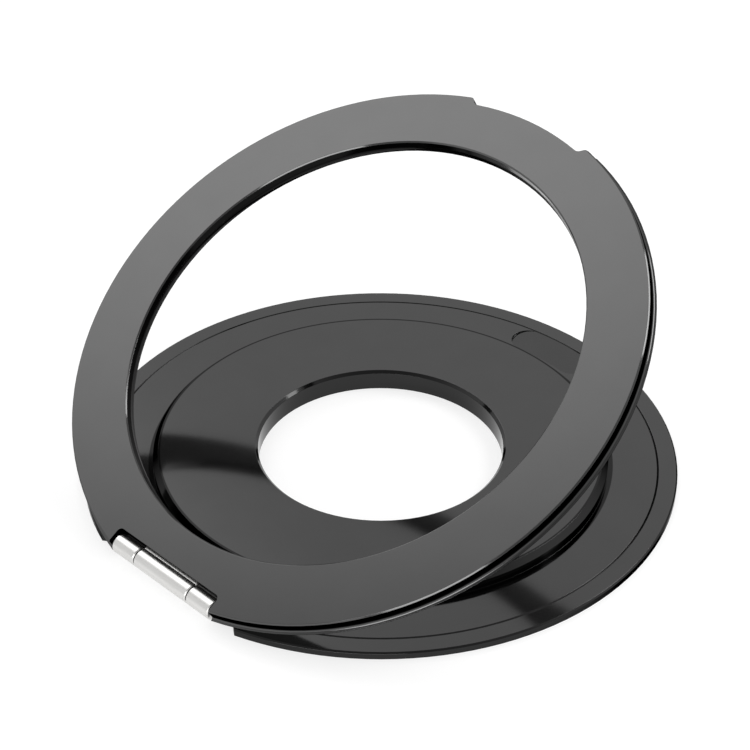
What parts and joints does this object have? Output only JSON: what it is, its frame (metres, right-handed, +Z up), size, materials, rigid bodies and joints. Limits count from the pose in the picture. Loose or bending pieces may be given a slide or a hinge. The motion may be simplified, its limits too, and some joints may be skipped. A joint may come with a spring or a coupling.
{
  "type": "folding magnetic tablet stand",
  "caption": "Flat round magnetic stand: a disc base with a raised, open centre and a flat ring that swings up from its rim on a friction hinge to prop a tablet.",
  "frame": {"origin": "centre of the base's flat underside", "axes": "+Z up out of the base, hinge axis along X on the -Y side, ring opens towards +Z"},
  "size_m": [0.0734, 0.0722, 0.0376],
  "materials": {
    "black_metal": "smooth satin black coating on metal",
    "hinge_steel": "bright fine-brushed steel",
    "plain_steel": "plain machined steel",
    "dark_washer": "dark low-friction sheet",
    "magnet_plating": "nickel plating",
    "cover_sheet": "thin dark plastic sheet",
    "soft_pad": "matt soft pad"
  },
  "bodies": {
    "base": {"base_shell": "black_metal", "base_pad": "soft_pad", "magnet_cover": "cover_sheet", "base_magnets": "magnet_plating", "base_leaf": "hinge_steel", "hinge_pin": "plain_steel", "hinge_washers": "dark_washer"},
    "ring": {"ring_shell": "black_metal", "ring_back": "black_metal", "ring_magnets": "magnet_plating", "ring_leaf": "hinge_steel"}
  },
  "joints": [
    {"name": "ring_hinge", "type": "hinge", "parent": "base", "child": "ring", "pos_m": [0, -0.03446, 0.00155], "axis": [1, 0, 0], "range_deg": [-30, 150]}
  ]
}
